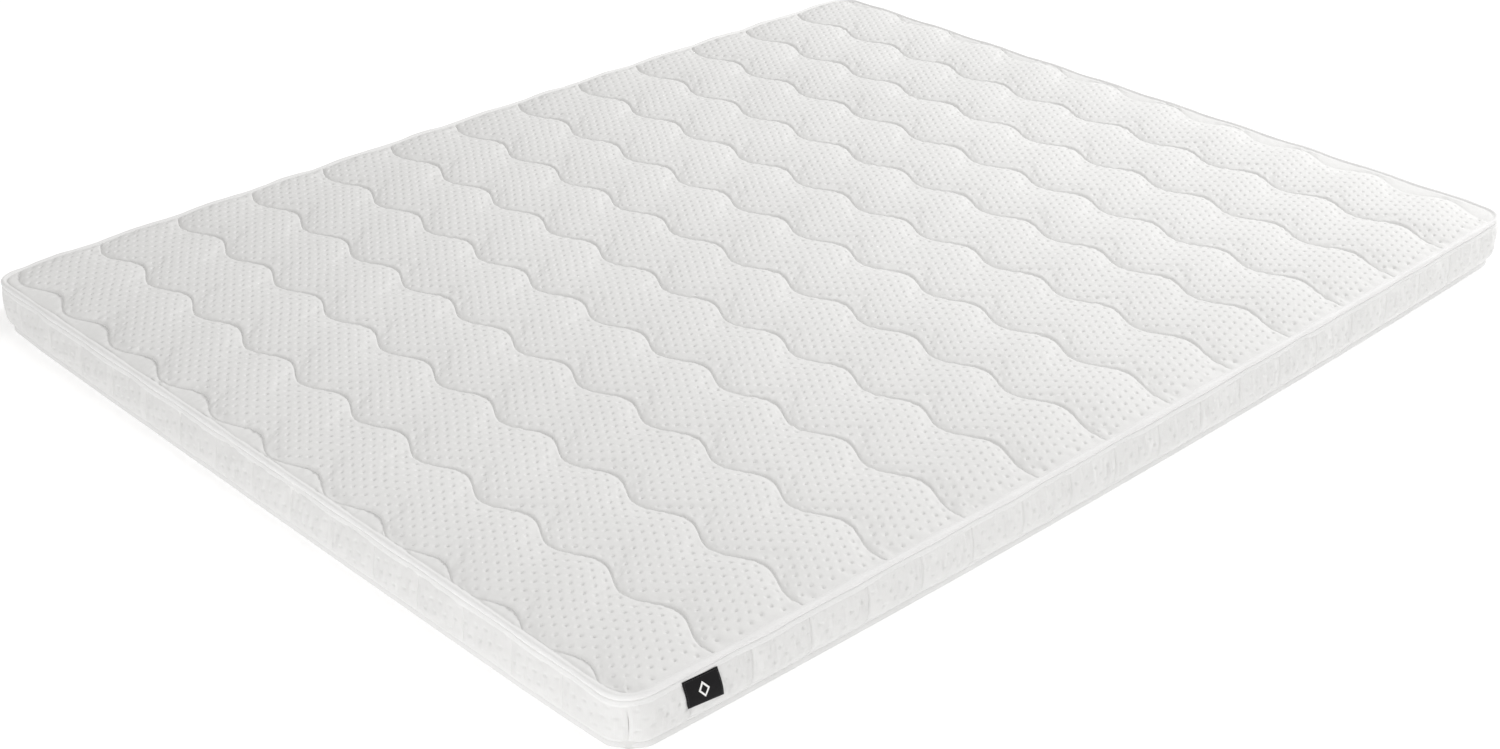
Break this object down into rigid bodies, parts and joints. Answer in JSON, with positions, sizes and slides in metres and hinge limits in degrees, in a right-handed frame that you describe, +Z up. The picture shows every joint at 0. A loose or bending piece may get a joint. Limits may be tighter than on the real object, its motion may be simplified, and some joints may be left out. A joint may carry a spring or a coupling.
{
  "type": "memory foam mattress",
  "caption": "Thin double memory foam mattress: a foam core in a quilted, zip-round knitted cover with wavy stitching, tape-bound edges and a side label.",
  "frame": {"origin": "middle of the underside", "axes": "+X along the long side, +Y across towards the far long side that carries the zip's ends, +Z up"},
  "size_m": [2, 1.6, 0.0878],
  "materials": {
    "knit_fabric": "matte",
    "base_fabric": "matte",
    "wadding": "matte",
    "scrim": "matte",
    "binding_tape": "satin",
    "thread": "satin",
    "memory_foam": "matte",
    "support_foam": "matte",
    "sleeve_knit": "matte",
    "zip_tape": "matte",
    "zip_coil": "satin",
    "zip_metal": "satin",
    "label_weave": "satin",
    "label_mark": "satin",
    "label_thread": "satin"
  },
  "bodies": {
    "mattress": {"support_foam_layer": "support_foam", "memory_foam_layer": "memory_foam", "core_sleeve": "sleeve_knit", "bottom_panel_fabric": "base_fabric", "bottom_panel_wadding": "wadding", "top_panel_backing": "scrim", "top_panel_wadding": "wadding", "top_panel_fabric": "knit_fabric", "top_quilting_thread": "thread", "border_backing": "scrim", "border_wadding": "wadding", "border_fabric": "knit_fabric", "border_quilting_thread": "thread", "border_end_seam": "thread", "top_binding": "binding_tape", "top_binding_stitching": "thread", "bottom_binding": "binding_tape", "bottom_binding_stitching": "thread", "zip_tape_upper": "zip_tape", "zip_tape_lower": "zip_tape", "zip_coil_upper": "zip_coil", "zip_coil_lower": "zip_coil", "zip_end_stops": "zip_metal", "side_label": "label_weave", "label_mark": "label_mark", "label_stitching": "label_thread"},
    "slider": {"zip_slider": "zip_metal"},
    "pull": {"zip_pull_tab": "zip_metal"}
  },
  "joints": [
    {"name": "zip_slide", "type": "slide", "parent": "mattress", "child": "slider", "axis": [1, 0, 0], "range_m": [0, 1.847]},
    {"name": "pull_hinge", "type": "hinge", "parent": "slider", "child": "pull", "pos_m": [-0.907, 0.796, 0.0171], "axis": [0, 0, -1], "range_deg": [0, 180]}
  ]
}
